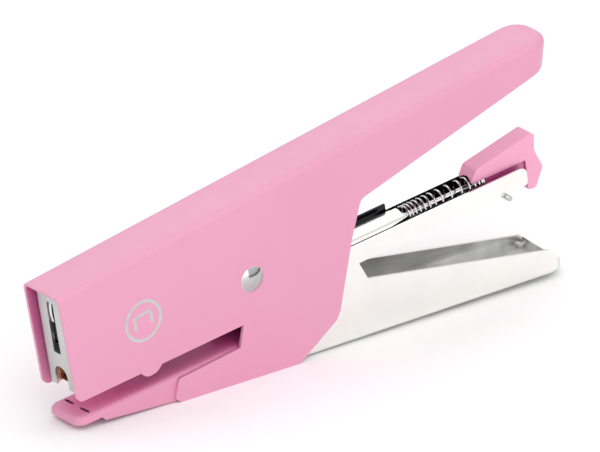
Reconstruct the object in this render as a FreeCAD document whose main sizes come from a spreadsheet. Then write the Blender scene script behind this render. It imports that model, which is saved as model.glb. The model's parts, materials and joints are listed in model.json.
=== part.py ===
import FreeCAD, Part
import os
import re
import Sketcher

# One-hand plier stapler, in millimetres.
# +X runs from the nose to the handles, +Z is up and Y = 0 is the plane that the two sides mirror in.
# The origin is on the surface that the stapler stands on, halfway along its length.
# Three pressings turn on one rivet: the casing (upper handle, head and anvil jaw), the lower handle and
# the magazine. The magazine and what slides in it are drawn along their own rail, with X back along the
# rail from its front end and Z square to it from the rail's underside, and are then laid at its pitch.
# The front plate, its leaf and the driver blade are drawn in the same way, and lean forward of square.

doc = FreeCAD.newDocument("plier_stapler")

# name, value, meaning (mm, and degrees for the pitch and the lean)
SIZES = [
    ("overall_length", 176.6, "nose to the end of the lower handle"),
    ("sheet_wall", 0.9, "sheet steel of the casing and the lower handle"),
    ("running_gap", 0.25, "gap between pressings that slide past each other"),
    ("shaft_gap", 0.05, "radial clearance of a hole that turns on a shaft"),
    ("pivot_x", -22.8, "rivet that the three pressings turn on"),
    ("pivot_z", 29.6, "its height"),
    ("rivet_radius", 2.0, "rivet shank"),
    ("rivet_head", 3.7, "rivet head radius"),
    ("rivet_dome", 1.3, "height of the rivet's domed head"),
    ("bush_radius", 2.8, "bush that the levers turn on"),
    ("ear_radius", 6.5, "round ears around the rivet"),
    ("casing_width", 16.0, "over the casing's two side plates"),
    ("casing_bend", 2.2, "outer radius along the casing's top"),
    ("casing_corner", 1.2, "rounding of the casing's small corners"),
    ("casing_crook", 2.6, "rounding of the casing's two large inner and outer turns"),
    ("nose_top_z", 41.5, "front upper corner of the head"),
    ("nose_foot_x", -81.9, "front lower corner of the head"),
    ("nose_foot_z", 9.4, "its height"),
    ("upper_end_x", 81.4, "end of the upper handle"),
    ("upper_end_z", 74.0, "its top"),
    ("upper_lip_z", 65.5, "its lower lip"),
    ("end_corner", 6.5, "plan radius of the upper handle's end"),
    ("crook_x", 14.4, "inner corner between the upper handle and the head"),
    ("crook_z", 43.0, "its height"),
    ("hip_x", 11.3, "turn in the back edge of the head"),
    ("hip_z", 31.7, "its height"),
    ("back_x", 7.5, "back of the head above its heel"),
    ("back_z", 12.0, "its height"),
    ("heel_x", 6.2, "rounded heel under the back of the head"),
    ("heel_z", 9.4, "its height"),
    ("sole_rear_x", -6.5, "rear end of the edge that the casing stands on"),
    ("sole_front_x", -47.0, "front end of the same edge"),
    ("jaw_front_x", -48.9, "front edge of the jaw plate"),
    ("jaw_foot_z", 1.4, "its lower end"),
    ("jaw_step_x", -47.7, "front upper corner of the jaw plate"),
    ("jaw_step_z", 7.0, "its height"),
    ("throat_x", -26.8, "inner end of the paper throat, at the jaw plate"),
    ("throat_floor_z", 10.4, "jaw plate at the throat's inner end"),
    ("throat_roof_x", -25.7, "inner end of the paper throat, at the head"),
    ("throat_roof_z", 16.9, "its height"),
    ("tab_front_x", -60.4, "front of the round tab under the head"),
    ("tab_length", 6.9, "length of the tab"),
    ("tab_drop", 1.9, "how far the tab stands below the head's edge"),
    ("tab_taper", 1.5, "how much the tab narrows at each end"),
    ("tab_corner", 3.0, "rounding of the tab's lower corners"),
    ("anvil_front_x", -81.0, "tip of the anvil"),
    ("anvil_front_z", 3.7, "top of the anvil at its tip"),
    ("anvil_rear_x", -19.0, "rear end of the anvil arm"),
    ("anvil_rear_z", 11.3, "top of the anvil arm at its rear end"),
    ("anvil_sheet", 1.1, "sheet of the anvil arm"),
    ("anvil_bend", 1.6, "outer radius between the arm's top and its skirts"),
    ("anvil_tip_corner", 3.0, "plan radius of the tip"),
    ("anvil_tip_depth", 2.1, "depth of the tip over its turned-down rim"),
    ("skirt_front_x", -73.0, "where the arm's deeper side skirts begin"),
    ("skirt_front_z", 1.4, "lower edge of the skirts at their front"),
    ("skirt_rear_z", 0.4, "lower edge of the skirts at their rear"),
    ("groove_along", 4.8, "clinching grooves, behind the anvil's tip"),
    ("groove_length", 4.6, "clinching groove, across the anvil"),
    ("groove_width", 1.1, "clinching groove, along the anvil"),
    ("groove_depth", 0.6, "clinching groove"),
    ("groove_spacing", 6.8, "between the grooves' centres"),
    ("tray_front_x", -14.0, "front end of the lower handle's floor"),
    ("tray_front_z", 0.25, "underside of the lower handle at its front"),
    ("tray_rear_z", 1.5, "underside of the lower handle at its rear"),
    ("tray_corner", 6.7, "plan radius of the lower handle's end"),
    ("tray_bend", 1.8, "outer radius along the lower handle's underside"),
    ("cheek_front_z", 14.0, "lower front corner of the lower handle's cheeks"),
    ("rim_rear_z", 8.2, "line of the lower handle's rim, carried on to the end"),
    ("rim_drop_x", 81.0, "where the rim starts to drop towards the end"),
    ("rim_end_z", 3.2, "rim at the very end"),
    ("rim_front_x", 17.9, "where the rim turns up towards the head"),
    ("rim_front_z", 18.1, "its height"),
    ("cheek_x", 11.0, "upper rear corner of the lower handle's cheeks"),
    ("cheek_z", 30.0, "its height"),
    ("rail_pitch", 7.2, "degrees that the magazine rises towards the rear"),
    ("pivot_along", 61.4, "rivet, back along the rail from the front plate"),
    ("pivot_above", 11.9, "rivet, above the rail's underside"),
    ("rail_width", 10.0, "over the magazine's walls"),
    ("rail_wall", 0.7, "sheet steel of the magazine"),
    ("rail_length", 158.3, "front plate to the rail's rear end"),
    ("rail_height", 5.6, "near wall of the rail"),
    ("far_wall", 5.9, "far wall of the rail behind the head"),
    ("tall_wall", 8.1, "far wall of the magazine inside the head"),
    ("tall_wall_end", 116.5, "rear end of that taller wall"),
    ("rail_corner", 2.2, "rounding of the near wall's rear corner"),
    ("floor_front", 4.3, "front edge of the magazine floor, behind the staples' way out"),
    ("plate_lean", 3.0, "degrees that the front plate leans forward of square to the rail"),
    ("plate_set", 1.6, "foot of the front plate, back along the rail"),
    ("plate_sheet", 0.9, "sheet of the front plate"),
    ("plate_foot", 0.8, "lower edge of the front plate"),
    ("plate_top", 29.7, "upper edge of the front plate"),
    ("flange_depth", 7.5, "side flanges of the front plate"),
    ("flange_sheet", 0.8, "their thickness"),
    ("flange_clear", 1.0, "between the flanges and the magazine's tall far wall"),
    ("slot_width", 3.0, "slot down the front plate"),
    ("slot_top", 27.5, "upper end of the slot"),
    ("slot_foot", 11.5, "lower end of the slot"),
    ("slot_corner", 0.3, "rounding of the slot's corners"),
    ("arch_width", 5.5, "arched notch at the foot of the front plate"),
    ("arch_top", 7.2, "top of the notch"),
    ("leaf_width", 2.2, "leaf spring seen in the slot"),
    ("leaf_sheet", 0.3, "its thickness"),
    ("leaf_length", 5.9, "its length"),
    ("leaf_gap", 0.05, "between the leaf and the two faces of the plate"),
    ("blade_sheet", 0.8, "driver blade"),
    ("blade_width", 8.1, "driver blade"),
    ("blade_foot", 6.9, "lower edge of the driver blade at rest"),
    ("blade_top", 26.6, "upper edge of the driver blade at rest"),
    ("blade_gap", 0.05, "between the front plate and the driver blade"),
    ("arm_sheet", 0.8, "sheet of the driver arm"),
    ("arm_front", 9.8, "front end of the driver arm's walls, behind the front plate's flanges"),
    ("arm_crown", 8.0, "top of the driver arm over the pivot"),
    ("arm_belly", 5.0, "underside of the driver arm below the pivot"),
    ("arm_heel", 13.0, "rear end of the driver arm behind the pivot"),
    ("arm_rivet_radius", 1.5, "rivet that holds the driver arm to the lower handle"),
    ("arm_rivet_back", 9.0, "its distance behind the pivot, along the rail"),
    ("arm_rivet_up", 4.0, "its distance over the pivot"),
    ("tongue_width", 5.0, "tongue of the driver arm"),
    ("tongue_foot", 14.6, "underside of the tongue"),
    ("tongue_sheet", 1.6, "thickness of the tongue"),
    ("tongue_gap", 0.55, "between the front plate and the tongue's tip at rest"),
    ("window_gap", 0.6, "clearance of the blade's window over and under the tongue"),
    ("window_side", 0.3, "clearance of the window beside the tongue"),
    ("staple_width", 8.4, "crown of a staple"),
    ("staple_leg", 5.0, "leg of a staple"),
    ("staple_wire", 0.5, "staple wire"),
    ("staple_foot", 0.75, "lower end of the legs above the rail's underside"),
    ("strip_front", 3.6, "front face of the staple strip"),
    ("strip_length", 52.0, "two sticks of staples"),
    ("core_width", 7.2, "inner rail that the staples straddle"),
    ("core_height", 5.1, "top of the inner rail"),
    ("core_front", 9.5, "front end of the inner rail"),
    ("core_rear", 109.0, "rear end of the inner rail"),
    ("core_sheet", 0.6, "sheet of the inner rail"),
    ("follower_front", 56.0, "front end of the staple follower"),
    ("follower_rear", 118.5, "rear end of the follower"),
    ("follower_taper", 112.0, "where the follower's rear end starts to narrow"),
    ("follower_nip", 1.2, "how much each side narrows"),
    ("follower_foot", 0.9, "lower edge of the follower"),
    ("follower_top", 6.3, "top of the follower's raised middle"),
    ("follower_step", 0.45, "how far the shoulders lie below it"),
    ("crown_width", 5.0, "width of the raised middle"),
    ("follower_sheet", 0.5, "sheet of the follower"),
    ("rod_above", 4.2, "axis of the guide rod above the rail's underside"),
    ("rod_radius", 0.9, "guide rod"),
    ("rod_front", 116.2, "front end of the guide rod"),
    ("rod_in_knob", 8.0, "length of the rod held in the knob"),
    ("stop_radius", 1.4, "collar on the rod's front end"),
    ("stop_length", 1.5, "length of the collar"),
    ("coil_radius", 3.3, "outer radius of the pusher spring"),
    ("coil_wire", 0.55, "wire of the pusher spring"),
    ("coil_gap", 0.35, "between each end of the pusher spring and its seat"),
    ("knob_width", 5.8, "pulling knob"),
    ("knob_front", 140.6, "front tip of the knob"),
    ("knob_brow", 142.8, "front end of the knob's top"),
    ("knob_brow_z", 10.1, "its height above the rail's underside"),
    ("knob_foot_z", 6.1, "underside of the knob over the rail's walls"),
    ("knob_crest", 5.4, "rear top corner of the knob behind the rail's end"),
    ("knob_crest_z", 13.6, "its height"),
    ("knob_waist", 4.7, "hollow in the back of the knob, behind the rail's end"),
    ("knob_waist_z", 8.0, "its height"),
    ("knob_bulge", 7.1, "bulge in the back of the knob, behind the rail's end"),
    ("knob_bulge_z", 2.1, "its height"),
    ("knob_toe", 4.0, "lower end of the knob, behind the rail's end"),
    ("knob_toe_z", -3.5, "its height"),
    ("knob_corner", 1.2, "rounding of the knob's corners in its side view"),
    ("knob_hollow", 4.0, "radius of the hollow in its back"),
    ("hook_gap", 1.4, "between the rail's end and the part of the knob that hangs behind it"),
    ("shoe_front", 146.0, "front of the knob's shoe inside the rail"),
    ("shoe_width", 4.4, "width of the shoe"),
    ("shoe_foot", 1.1, "underside of the shoe"),
    ("latch_along", 150.7, "small cross pin under the rail"),
    ("latch_radius", 0.8, "its radius"),
    ("latch_length", 13.0, "its length"),
    ("weld_gap", 0.03, "between the cross pin and the rail's underside"),
    ("return_mean", 4.3, "mean radius of the return spring's coil"),
    ("return_wire", 0.9, "wire of the return spring"),
    ("return_coil_width", 6.0, "length of the return spring's coil along the bush"),
]

sheet = doc.addObject("Spreadsheet::Sheet", "Sizes")
for row, (alias, value, meaning) in enumerate(SIZES, 1):
    sheet.set(f"A{row}", alias)
    sheet.set(f"B{row}", str(value))
    sheet.set(f"C{row}", meaning)
    sheet.setAlias(f"B{row}", alias)
doc.recompute()
gauge = doc.addObject("App::FeaturePython", "Gauge")
gauge.addProperty("App::PropertyFloat", "Reading")
nodes = []


def bound(text):
    """The text with each dimension's name written as its cell in the sheet."""
    return re.sub(r"[a-z]+(_[a-z]+)+", r"Sizes.\g<0>", text)


def number(text):
    """What a formula over the sheet's dimensions comes to."""
    gauge.setExpression("Reading", bound(text))
    gauge.recompute()
    return gauge.Reading


# How far back along the rail each drawing frame starts, and how far it leans forward of square to the rail.
LAID_ON = {"rail": ("0", "0"), "plate": ("plate_set", "plate_lean")}


def keep(piece, label, on=""):
    """Name a finished sub-part, and lay it on the rail or on the front plate if it was drawn there."""
    piece.Label = label
    if on:
        start, lean = LAID_ON[on]
        reach = f"(pivot_along - {start})"
        base = f"vector(pivot_x - {reach} * cos(rail_pitch) + pivot_above * sin(rail_pitch); 0; "
        base += f"pivot_z - {reach} * sin(rail_pitch) - pivot_above * cos(rail_pitch))"
        turn = f"rotation(vector(0; -1; 0); rail_pitch + {lean})"
        piece.setExpression("Placement", bound(f"placement({base}; {turn})"))
    nodes.append(piece)
    return piece


def new_body(name):
    return doc.addObject("PartDesign::Body", name)


def new_sketch(body, name, plane, lift):
    """An empty sketch on one of the body's own origin planes, lifted off it by a formula."""
    sketch = body.newObject("Sketcher::SketchObject", name)
    origin_plane = next(item for item in body.Origin.OriginFeatures if item.Role == plane)
    sketch.AttachmentSupport = (origin_plane, "")
    sketch.MapMode = "FlatFace"
    if lift:
        sketch.setExpression(".AttachmentOffset.Base.z", bound(lift))
    return sketch


def outline(body, name, points, plane="XZ_Plane", lift=""):
    """A closed outline of straight sides, each corner bound to two formulas over the sheet."""
    sketch = new_sketch(body, name, plane, lift)
    corners = [FreeCAD.Vector(number(across), number(up), 0) for across, up in points]
    for here, there in zip(corners, corners[1:] + corners[:1]):
        sketch.addGeometry(Part.LineSegment(here, there))
    for side, formulas in enumerate(points):
        sketch.addConstraint(Sketcher.Constraint("Coincident", (side - 1) % len(points), 2, side, 1))
        for kind, formula in zip(("DistanceX", "DistanceY"), formulas):
            row = sketch.addConstraint(Sketcher.Constraint(kind, -1, 1, side, 1, number(formula)))
            sketch.setExpression(f"Constraints[{row}]", bound(formula))
    return sketch


def circle(body, name, centre, radius, plane="XZ_Plane", lift=""):
    """A circle whose centre and radius are bound to formulas over the sheet."""
    sketch = new_sketch(body, name, plane, lift)
    spot = FreeCAD.Vector(number(centre[0]), number(centre[1]), 0)
    sketch.addGeometry(Part.Circle(spot, FreeCAD.Vector(0, 0, 1), number(radius)))
    for kind, formula in zip(("DistanceX", "DistanceY"), centre):
        row = sketch.addConstraint(Sketcher.Constraint(kind, -1, 1, 0, 3, number(formula)))
        sketch.setExpression(f"Constraints[{row}]", bound(formula))
    row = sketch.addConstraint(Sketcher.Constraint("Radius", 0, number(radius)))
    sketch.setExpression(f"Constraints[{row}]", bound(radius))
    return sketch


def box_outline(body, name, low, high, plane="XZ_Plane", lift=""):
    """A rectangle between two corners."""
    points = [low, (high[0], low[1]), high, (low[0], high[1])]
    return outline(body, name, points, plane, lift)


def extrude(body, sketch, length, kind="Pad", side="Symmetric", reverse=False):
    """A pad or a pocket from the sketch, as long as the formula says."""
    feature = body.newObject("PartDesign::" + kind, sketch.Name + kind)
    feature.Profile = sketch
    feature.SideType = side
    feature.Reversed = reverse
    feature.setExpression("Length", bound(length))
    doc.recompute()
    return feature


def cut(body, sketch, length, side="Symmetric", reverse=False):
    """A pocket that must take something away."""
    before = body.Shape.Volume
    feature = extrude(body, sketch, length, "Pocket", side, reverse)
    if not body.Shape.Volume < before - 1e-6:
        raise RuntimeError(f"{feature.Name} cuts nothing")
    return feature


def spots(points, across="0"):
    """Points of the body's own space at (x, z) formulas, at a distance across from the middle plane."""
    return [FreeCAD.Vector(number(x), number(across), number(z)) for x, z in points]


def middle(start, end, across):
    """The spots halfway between two (x, z) formulas, on both sides of the middle plane."""
    point = [(f"({start[0]} + {end[0]}) / 2", f"({start[1]} + {end[1]}) / 2")]
    return spots(point, across) + spots(point, f"-({across})")


def blend(body, radius, places):
    """Round every edge that passes through one of the places."""
    base = body.Tip
    names = []
    for place in places:
        vertex = Part.Vertex(place)
        gaps = [edge.distToShape(vertex)[0] for edge in base.Shape.Edges]
        names.append(f"Edge{gaps.index(min(gaps)) + 1}")
        if min(gaps) > 0.05:
            raise RuntimeError(f"{body.Name} has no edge at {place}")
    feature = body.newObject("PartDesign::Fillet", f"{body.Name}Blend{len(body.Group)}")
    feature.Base = (base, sorted(set(names)))
    feature.setExpression("Radius", bound(radius))
    doc.recompute()
    if feature.Shape.isNull():
        raise RuntimeError(f"{feature.Name} has no shape")
    return feature


def pin_across(name, radius, length, centre):
    """A cylinder along Y, centred on the middle plane."""
    pin = doc.addObject("Part::Cylinder", name)
    pin.setExpression("Radius", bound(radius))
    pin.setExpression("Height", bound(length))
    x, z = centre
    place = f"placement(vector({x}; ({length}) / 2; {z}); rotation(vector(1; 0; 0); 90))"
    pin.setExpression("Placement", bound(place))
    return pin


def round_bar(name, radius, length, centre, plane, start):
    """A round bar square to one of its own origin planes, from a start on that axis."""
    body = new_body(name)
    section = circle(body, name + "Section", centre, radius, plane, start)
    extrude(body, section, length, side="One side")
    return body


def join(name, pieces):
    """One solid from several primitives."""
    fused = doc.addObject("Part::MultiFuse", name)
    fused.Shapes = pieces
    return fused


def subtract(name, base, tool):
    """The base without the tool."""
    result = doc.addObject("Part::Cut", name)
    result.Base = base
    result.Tool = tool
    return result


# How far a cutting outline runs past what it cuts, how far a one-sided cut starts before the face that it
# enters, how far it runs past the face that it leaves, and a length that passes through every pressing.
SEVER = 5
LEAD = 1
HAIR = 0.01
THROUGH = "2 * casing_width"

# Places, slopes and half widths that several sub-parts share, as formulas over the sheet.
PIVOT = ("pivot_x", "pivot_z")
RAIL_PIVOT = ("pivot_along", "pivot_above")
TOP_SLOPE = "(upper_end_z - nose_top_z) / (upper_end_x + overall_length / 2)"
HEAD_SLOPE = "(throat_roof_z - nose_foot_z) / (throat_roof_x - nose_foot_x)"
ANVIL_SLOPE = "(anvil_rear_z - anvil_front_z) / (anvil_rear_x - anvil_front_x)"
TRAY_SLOPE = "(tray_rear_z - tray_front_z) / (overall_length / 2 - tray_front_x)"
RIM_SLOPE = "(rim_rear_z - rim_front_z) / (overall_length / 2 - rim_front_x)"
CASING_INSIDE = "(casing_width / 2 - sheet_wall)"
HANDLE_OUTSIDE = f"({CASING_INSIDE} - running_gap)"
HANDLE_INSIDE = f"({HANDLE_OUTSIDE} - sheet_wall)"
RAIL_INSIDE = "(rail_width / 2 - rail_wall)"
DOME_RADIUS = "((rivet_head ^ 2 + rivet_dome ^ 2) / (2 * rivet_dome))"
COIL_TURNS = 13
RETURN_TURNS = 5
RAIL_ARM_RIVET = ("pivot_along + arm_rivet_back", "pivot_above + arm_rivet_up")
ARM_RIVET = (
    "pivot_x + arm_rivet_back * cos(rail_pitch) - arm_rivet_up * sin(rail_pitch)",
    "pivot_z + arm_rivet_back * sin(rail_pitch) + arm_rivet_up * cos(rail_pitch)",
)


def ceiling_height(x):
    """Height of the casing's ceiling at x."""
    return f"nose_top_z + ({x} + overall_length / 2) * {TOP_SLOPE} - sheet_wall"


def head_edge_height(x):
    """Height of the head's lower edge at x."""
    return f"nose_foot_z + ({x} - nose_foot_x) * {HEAD_SLOPE}"


def anvil_height(x):
    """Height of the anvil arm's top at x."""
    return f"anvil_front_z + ({x} - anvil_front_x) * {ANVIL_SLOPE}"


def tray_height(x):
    """Height of the lower handle's underside at x."""
    return f"tray_front_z + ({x} - tray_front_x) * {TRAY_SLOPE}"


def make_casing():
    """One pressing: the upper handle, the head and the jaw plates that carry the anvil arm."""
    nose_top = ("-overall_length / 2", "nose_top_z")
    nose_foot = ("nose_foot_x", "nose_foot_z")
    upper_end = ("upper_end_x", "upper_end_z")
    upper_lip = ("upper_end_x - sheet_wall", "upper_lip_z")
    crook = ("crook_x", "crook_z")
    heel = ("heel_x", "heel_z")
    sole = [("sole_rear_x", "0"), ("sole_front_x", "0")]
    jaw_foot = ("jaw_front_x", "jaw_foot_z")
    jaw_step = ("jaw_step_x", "jaw_step_z")
    throat = [("throat_x", "throat_floor_z"), ("throat_roof_x", "throat_roof_z")]
    tab_rear = "tab_front_x + tab_length"
    tab = [
        (tab_rear, head_edge_height(tab_rear)),
        (tab_rear + " - tab_taper", head_edge_height(tab_rear) + " - tab_drop"),
        ("tab_front_x + tab_taper", head_edge_height("tab_front_x") + " - tab_drop"),
        ("tab_front_x", head_edge_height("tab_front_x")),
    ]
    side = [nose_top, upper_end, upper_lip, crook, ("hip_x", "hip_z"), ("back_x", "back_z"), heel]
    side += sole + [jaw_foot, jaw_step] + throat + tab + [nose_foot]
    body = new_body("Casing")
    extrude(body, outline(body, "CasingSide", side), "casing_width")
    blend(body, "end_corner", middle(upper_end, upper_lip, "casing_width / 2"))
    blend(body, "casing_bend", middle(nose_top, upper_end, "casing_width / 2"))
    blend(body, "casing_crook", spots([crook, heel]))
    blend(body, "casing_bend", spots([nose_foot]))
    blend(body, "casing_corner", spots([jaw_foot, jaw_step, sole[0]]))
    blend(body, "tab_corner", spots(tab[1:3]))
    cut(body, circle(body, "CasingEye", PIVOT, "rivet_radius"), THROUGH)
    front = f"-overall_length / 2 - {SEVER}"
    inner_end = "upper_end_x - sheet_wall"
    ceiling = [(front, ceiling_height(front)), (inner_end, ceiling_height(inner_end))]
    lip = ("upper_end_x - 2 * sheet_wall", "upper_lip_z")
    below = ("upper_end_x - 2 * sheet_wall", f"-{SEVER}")
    void = new_body("CasingVoid")
    hollow = ceiling + [lip, below, (front, f"-{SEVER}")]
    extrude(void, outline(void, "CasingHollow", hollow), f"2 * {CASING_INSIDE}")
    upright = middle(ceiling[1], lip, CASING_INSIDE) + middle(lip, below, CASING_INSIDE)
    blend(void, "end_corner - sheet_wall", upright)
    blend(void, "casing_bend - sheet_wall", middle(*ceiling, CASING_INSIDE))
    keep(subtract("CasingShell", body, void), "casing")


def make_anvil_arm():
    """The lower jaw: an upturned channel between the jaw plates, shallow at the tip that the staples meet."""
    body = new_body("AnvilArm")
    front_foot = ("skirt_front_x + anvil_sheet", "skirt_front_z")
    arm = [
        ("anvil_front_x", "anvil_front_z"),
        ("anvil_rear_x", "anvil_rear_z"),
        ("anvil_rear_x", "skirt_rear_z"),
        ("jaw_front_x", "skirt_rear_z"),
        front_foot,
        ("skirt_front_x", anvil_height("skirt_front_x") + " - anvil_tip_depth"),
        ("anvil_front_x", "anvil_front_z - anvil_tip_depth"),
    ]
    extrude(body, outline(body, "ArmSide", arm), f"2 * {CASING_INSIDE}")
    blend(body, "anvil_tip_corner", middle(arm[0], arm[6], CASING_INSIDE))
    blend(body, "anvil_bend", middle(arm[0], arm[1], CASING_INSIDE))
    blend(body, "anvil_sheet / 2", spots([front_foot]))
    ends = ["anvil_front_x + 2 * anvil_sheet", f"anvil_rear_x + {SEVER}"]
    hollow = [(x, anvil_height(x) + " - anvil_sheet") for x in ends]
    hollow += [(x, f"-{SEVER}") for x in reversed(ends)]
    cut(body, outline(body, "ArmHollow", hollow), f"2 * {CASING_INSIDE} - 2 * anvil_sheet")
    for name, side in (("GrooveNear", "-1"), ("GrooveFar", "1")):
        cut_groove(body, name, f"{side} * groove_spacing / 2")
    keep(body, "anvil_arm")


def cut_groove(body, name, middle_y):
    """One clinching groove, drawn to a point at both ends."""
    x = "anvil_front_x + groove_along"
    lens = [
        (x, f"{middle_y} - groove_length / 2"),
        (f"{x} + groove_width / 2", f"{middle_y} - groove_length / 4"),
        (f"{x} + groove_width / 2", f"{middle_y} + groove_length / 4"),
        (x, f"{middle_y} + groove_length / 2"),
        (f"{x} - groove_width / 2", f"{middle_y} + groove_length / 4"),
        (f"{x} - groove_width / 2", f"{middle_y} - groove_length / 4"),
    ]
    sketch = outline(body, name, lens, "XY_Plane", anvil_height(x) + " - groove_depth")
    cut(body, sketch, "3 * groove_depth", "One side", True)


def make_pivot():
    """The domed rivet through both casing plates, and the bush that the levers turn on."""
    pieces = [pin_across("RivetShank", "rivet_radius", "casing_width", PIVOT)]
    sink = f"(casing_width / 2 + rivet_dome - {DOME_RADIUS})"
    for name, side in (("RivetHeadNear", "-1"), ("RivetHeadFar", "1")):
        ball = doc.addObject("Part::Sphere", name)
        ball.setExpression("Radius", bound(DOME_RADIUS))
        ball.setExpression("Angle1", bound(f"acos(rivet_head / {DOME_RADIUS})"))
        turn = f"rotation(vector(1; 0; 0); {side} * -90)"
        place = f"placement(vector(pivot_x; {side} * {sink}; pivot_z); {turn})"
        ball.setExpression("Placement", bound(place))
        pieces.append(ball)
    keep(join("PivotRivet", pieces), "pivot_rivet")
    tube = pin_across("BushTube", "bush_radius", f"2 * {CASING_INSIDE}", PIVOT)
    bore = pin_across("BushBore", "rivet_radius", "casing_width", PIVOT)
    keep(subtract("PivotBush", tube, bore), "pivot_bush")


def make_lower_handle():
    """A trough open at the top, with two cheeks that run up into the head and carry the rivet."""
    end = "overall_length / 2"
    floor = [("tray_front_x", "tray_front_z"), (end, "tray_rear_z")]
    rim_rear = (end, "rim_rear_z")
    rim_front = ("rim_front_x", "rim_front_z")
    cheek_top = ("cheek_x", "cheek_z")
    eye_top = [("cheek_x - ear_radius", "pivot_z + ear_radius"), ("pivot_x", "pivot_z + ear_radius")]
    eye_front = [("pivot_x - ear_radius", "pivot_z"), ("pivot_x", "pivot_z - 1.5 * ear_radius")]
    cheek_foot = ("tray_front_x", "cheek_front_z")
    side = floor + [rim_rear, rim_front, cheek_top] + eye_top + eye_front + [cheek_foot]
    body = new_body("LowerHandle")
    extrude(body, outline(body, "HandleSide", side), f"2 * {HANDLE_OUTSIDE}")
    blend(body, "tray_corner", middle(floor[1], rim_rear, HANDLE_OUTSIDE))
    blend(body, "tray_bend", middle(*floor, HANDLE_OUTSIDE))
    blend(body, "tray_bend", spots([rim_front]))
    blend(body, "ear_radius / 2", spots([cheek_top]))
    drop_z = f"rim_front_z + (rim_drop_x - rim_front_x) * {RIM_SLOPE}"
    past_end = f"{end} + {LEAD}"
    scoop = [("rim_drop_x", drop_z), (end, "rim_end_z"), (past_end, "rim_end_z"), (past_end, drop_z)]
    cut(body, outline(body, "RimDrop", scoop), THROUGH)
    cut(body, circle(body, "HandleEye", PIVOT, "bush_radius + shaft_gap"), THROUGH)
    cut(body, circle(body, "HandleRivetHole", ARM_RIVET, "arm_rivet_radius"), THROUGH)
    ends = ["pivot_x - 2 * ear_radius", end + " - sheet_wall"]
    void = new_body("TrayVoid")
    inner_floor = [(x, tray_height(x) + " + sheet_wall") for x in ends]
    hollow = inner_floor + [(x, "nose_top_z") for x in reversed(ends)]
    extrude(void, outline(void, "TrayHollow", hollow), f"2 * {HANDLE_INSIDE}")
    blend(void, "tray_corner - sheet_wall", middle(hollow[1], hollow[2], HANDLE_INSIDE))
    blend(void, "tray_bend - sheet_wall", middle(*inner_floor, HANDLE_INSIDE))
    keep(subtract("LowerHandleShell", body, void), "lower_handle")


def make_driver_arm():
    """The lever inside the head that turns with the lower handle and pushes the driver blade down."""
    nose_top = ("arm_front", "tongue_foot + tongue_sheet")
    brow = ("pivot_along - ear_radius", "pivot_above + arm_crown")
    crown = ("pivot_along + arm_heel", "pivot_above + arm_crown")
    heel = ("pivot_along + arm_heel", "pivot_above")
    belly = ("pivot_along", "pivot_above - arm_belly")
    chin = ("arm_front", "tongue_foot - 1.5 * arm_sheet")
    body = new_body("DriverArm")
    extrude(body, outline(body, "DriverArmSide", [nose_top, brow, crown, heel, belly, chin]),
            f"2 * {HANDLE_INSIDE}")
    blend(body, "arm_belly", spots([brow, belly]))
    blend(body, "arm_belly / 2", spots([crown, heel]))
    hollow = [
        (f"arm_front - {SEVER}", "tongue_foot"),
        ("arm_front", "tongue_foot + tongue_sheet - arm_sheet"),
        (brow[0], brow[1] + " - arm_sheet"),
        (f"{crown[0]} + {SEVER}", crown[1] + " - arm_sheet"),
        (f"{crown[0]} + {SEVER}", "0"),
        (f"arm_front - {SEVER}", "0"),
    ]
    cut(body, outline(body, "DriverArmHollow", hollow), f"2 * ({HANDLE_INSIDE} - arm_sheet)")
    plate_back = "plate_set + plate_sheet - tongue_foot * sin(plate_lean)"
    tongue_low = (plate_back + " + tongue_gap", "tongue_foot")
    tongue_high = ("arm_front + 2 * tongue_sheet", "tongue_foot + tongue_sheet")
    extrude(body, box_outline(body, "Tongue", tongue_low, tongue_high), "tongue_width")
    cut(body, circle(body, "DriverArmEye", RAIL_PIVOT, "bush_radius + shaft_gap"), THROUGH)
    cut(body, circle(body, "DriverArmRivetHole", RAIL_ARM_RIVET, "arm_rivet_radius"), THROUGH)
    keep(body, "driver_arm", on="rail")
    keep(pin_across("ArmRivet", "arm_rivet_radius", f"2 * {HANDLE_OUTSIDE}", ARM_RIVET), "arm_rivet")


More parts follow.
